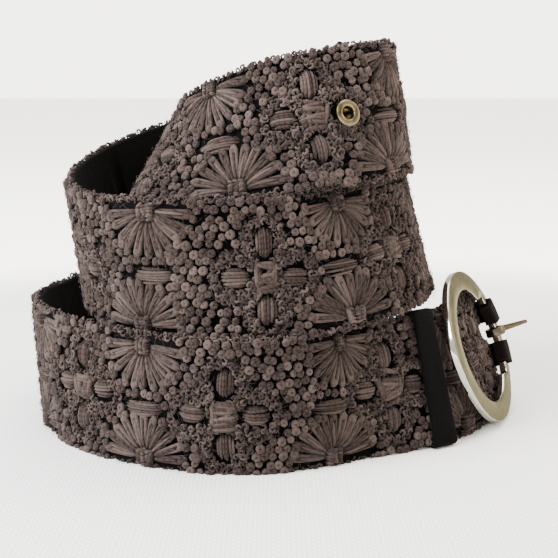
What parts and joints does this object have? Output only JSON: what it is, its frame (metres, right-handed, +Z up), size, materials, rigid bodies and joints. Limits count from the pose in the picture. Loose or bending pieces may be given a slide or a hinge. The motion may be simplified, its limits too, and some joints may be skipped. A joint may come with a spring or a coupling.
{
  "type": "embroidered belt",
  "caption": "Wool-embroidered felt belt coiled on its edge, with brass eyelets, a felt keeper and a round ring buckle whose prong turns on the rim.",
  "frame": {"origin": "under the middle of the belt's box, on the surface that it stands on", "axes": "+Z up; -Y is the side that the picture shows, +X its right"},
  "size_m": [0.227, 0.1742, 0.156],
  "materials": {
    "felt": "black wool felt, matt and slightly fuzzy",
    "yarn": "taupe-brown two-ply wool yarn",
    "brass": "antique brass, darkened",
    "strap": "taupe strap end, matt",
    "nickel": "polished nickel",
    "prong_metal": "aged plated pin"
  },
  "bodies": {
    "belt": {"belt_backing": "felt", "belt_embroidery": "yarn", "eyelet_1": "brass", "eyelet_2": "brass", "eyelet_3": "brass", "eyelet_4": "brass", "eyelet_5": "brass", "buckle_tab": "strap", "keeper": "felt", "buckle_ring": "nickel"},
    "prong": {"prong": "prong_metal"}
  },
  "joints": [
    {"name": "prong_hinge", "type": "hinge", "parent": "belt", "child": "prong", "pos_m": [0.08843, 0.01613, 0.03146], "axis": [0.324, -0.1437, -0.9351], "range_deg": [-15, 172]}
  ]
}
